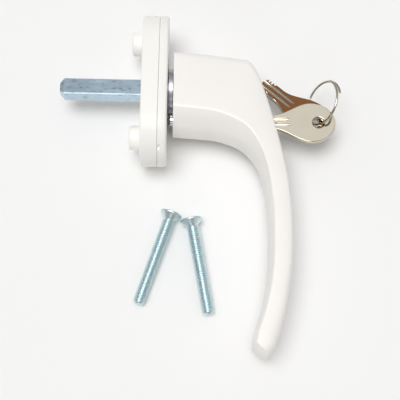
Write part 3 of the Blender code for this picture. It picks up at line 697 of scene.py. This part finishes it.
# A smooth curve through the rows of a table: t is 0 at the first row, 1 at the second, and so on
def between(rows, t):
    k = min(int(t), len(rows) - 2)
    u = t - k
    before = rows[max(k - 1, 0)]
    beyond = rows[min(k + 2, len(rows) - 1)]
    out = []
    for a, b, c, d in zip(before, rows[k], rows[k + 1], beyond):
        leaving = (c - a) / 2.0
        arriving = (d - b) / 2.0
        start = (2 * u**3 - 3 * u**2 + 1) * b + (u**3 - 2 * u**2 + u) * leaving
        out.append(start + (3 * u**2 - 2 * u**3) * c + (u**3 - u**2) * arriving)
    return out


# One section of the lever with a small round on the ridge between its flat top and its sloping inner side
def lever_ring(row):
    ox, oy, ix, iy, w, ridge, share, soft = row
    slope = [(ridge * s, height + gain * share) for s, height, gain in SLOPE]
    side = [(0.0, share), (ridge * SLOPE_FOOT[0], share + (slope[0][1] - share) * SLOPE_FOOT[1])]
    side += slope
    low_s, low_z = slope[-1]
    for u in SLOPE_TOP:
        side.append((low_s + (ridge - low_s) * u, low_z + (RIDGE_HEIGHT - low_z) * u))
    side.append((ridge * BEFORE_RIDGE[0], BEFORE_RIDGE[1]))
    side += [(ridge + s, z) for s, z in PAST_RIDGE]
    side.append(CROWN)
    side += [(1.0 - soft * s, z) for s, z in OUTER_ROUND]
    side += OUTER_SIDE

    def spot(s, z):
        return at(ix + (ox - ix) * s, iy + (oy - iy) * s, w * z)

    ring = [spot(s, z) for s, z in side]
    ring.append(spot(1.0 + BELLY, 0.0))
    ring += [spot(s, -z) for s, z in reversed(side)]
    ring.append(spot(-BELLY, 0.0))
    return ring


# A ring of points around an axis along X
def round_ring(x, radius, y):
    return [at(x, y + radius * math.cos(a), radius * math.sin(a)) for a in around(BORE_SIDES)]


def square_ring(x, half):
    return [at(x, y, z) for y, z in corners(half, half)]


def add_lever():
    rings = []
    for k in range(len(STATIONS) - 1):
        for step in range(STEPS_A_STATION):
            rings.append(lever_ring(between(STATIONS, k + step / STEPS_A_STATION)))
    rings += [lever_ring(row) for row in STATIONS[-1:] + END_STATIONS]
    piece = through_rings("lever_handle_finish", rings)
    socket = through_rings("socket", [square_ring(HUB_BACK + x, SOCKET_HALF) for x in (-PAST, SOCKET_DEPTH)])
    neck = through_rings("neck", [round_ring(HUB_BACK + x, NECK_RADIUS, 0.0) for x in (-PAST, NECK_DEPTH)])
    way = through_rings("way", [round_ring(HUB_BACK + x, r, LOCK_AT) for x, r in LOCK_WAY])
    carve(piece, [socket, neck, way])
    smooth_up_to(piece, LEVER_SHARP)
    settle(piece, "lever_handle")


# Floor, with its half size in metres
FLOOR_HALF = 3.0
FLOOR_COLOUR = (0.93, 0.93, 0.93)
FLOOR_SHADE = 0.995
FLOOR_ROUGHNESS = 0.9
FLOOR_SPECULAR = 0.1
# One wide sun: lean and side in degrees from straight down, and its width in degrees
SUN_LEAN = 5.0
SUN_SIDE = 9.5
SUN_WIDTH = 34.0
SUN_STRENGTH = 1.68
# Brightness of the studio by the height of its direction: dim at the horizon, brighter overhead
STUDIO = [(0.0, 0.12), (0.5, 0.38), (0.9, 0.54), (1.0, 0.66)]
# Patches of the studio: name, direction, colour, and the distances at which the fade starts and ends
PATCHES = [
    ("warm_fill", (0.0, -0.95, 0.31), (0.20, 0.19, 0.15), 0.3, 1.0),
    ("left_fill", (-0.85, 0.45, 0.28), (0.45, 0.44, 0.41), 0.35, 0.95),
    ("soft_box", (0.15, 0.41, 0.90), (1.0, 1.0, 1.0), 0.14, 0.22),
    ("front_lamp", (-0.12, -0.89, 0.44), (2.4, 2.4, 2.4), 0.11, 0.19),
    ("brown_card", (0.128, 0.569, 0.812), (0.34, 0.16, 0.08), 0.075, 0.12),
]


def add_floor():
    verts = [(x, y, 0.0) for x, y in corners(FLOOR_HALF, FLOOR_HALF)]
    floor = new_piece("floor", verts, [(0, 1, 2, 3)])
    f = Finish("floor_paper", metal=0.0)
    f.colours(f.noise(40.0), [(0.3, [c * FLOOR_SHADE for c in FLOOR_COLOUR]), (0.7, FLOOR_COLOUR)])
    f.shader.inputs["Roughness"].default_value = FLOOR_ROUGHNESS
    f.shader.inputs["Specular IOR Level"].default_value = FLOOR_SPECULAR
    floor.data.materials.append(f.material)


# A round patch of the world around one direction, laid over the colour so far
def add_patch(tree, towards, colour, name, centre, shade, full, gone):
    apart = tree.nodes.new("ShaderNodeVectorMath")
    apart.operation = "DISTANCE"
    tree.links.new(towards, apart.inputs[0])
    apart.inputs[1].default_value = centre
    inside = tree.nodes.new("ShaderNodeMapRange")
    inside.interpolation_type = "SMOOTHSTEP"
    inside.inputs["From Min"].default_value = full
    inside.inputs["From Max"].default_value = gone
    inside.inputs["To Min"].default_value = 1.0
    inside.inputs["To Max"].default_value = 0.0
    tree.links.new(apart.outputs["Value"], inside.inputs["Value"])
    patch = tree.nodes.new("ShaderNodeMix")
    patch.label = name
    patch.data_type = "RGBA"
    inputs = {socket.name: socket for socket in patch.inputs if socket.enabled}
    outputs = {socket.name: socket for socket in patch.outputs if socket.enabled}
    inputs["B"].default_value = (shade[0], shade[1], shade[2], 1.0)
    tree.links.new(inside.outputs["Result"], inputs["Factor"])
    tree.links.new(colour, inputs["A"])
    return outputs["Result"]


def add_light():
    world = bpy.data.worlds.new("studio")
    world.use_nodes = True
    tree = world.node_tree
    towards = tree.nodes.new("ShaderNodeTexCoord").outputs["Generated"]
    parts = tree.nodes.new("ShaderNodeSeparateXYZ")
    tree.links.new(towards, parts.inputs["Vector"])
    ramp = tree.nodes.new("ShaderNodeValToRGB")
    set_ramp(ramp, [(position, (level, level, level)) for position, level in STUDIO])
    tree.links.new(parts.outputs["Z"], ramp.inputs["Fac"])
    colour = ramp.outputs["Color"]
    for name, centre, shade, full, gone in PATCHES:
        colour = add_patch(tree, towards, colour, name, centre, shade, full, gone)
    tree.links.new(colour, tree.nodes["Background"].inputs["Color"])
    bpy.context.scene.world = world
    sun = bpy.data.lights.new("key_light", "SUN")
    sun.energy = SUN_STRENGTH
    sun.angle = math.radians(SUN_WIDTH)
    lamp = into_scene(bpy.data.objects.new("key_light", sun))
    lamp.rotation_euler = (math.radians(SUN_LEAN), math.radians(-SUN_SIDE), 0.0)


add_lever()
add_key("key_in_lock", KEY_PLACE)
add_key("spare_key", SPARE_PLACE)
dress_all()
for node, head, tip in SCREWS:
    add_screw(node, head, tip)
add_camera()
add_floor()
add_light()
bpy.context.scene.view_settings.view_transform = "Standard"
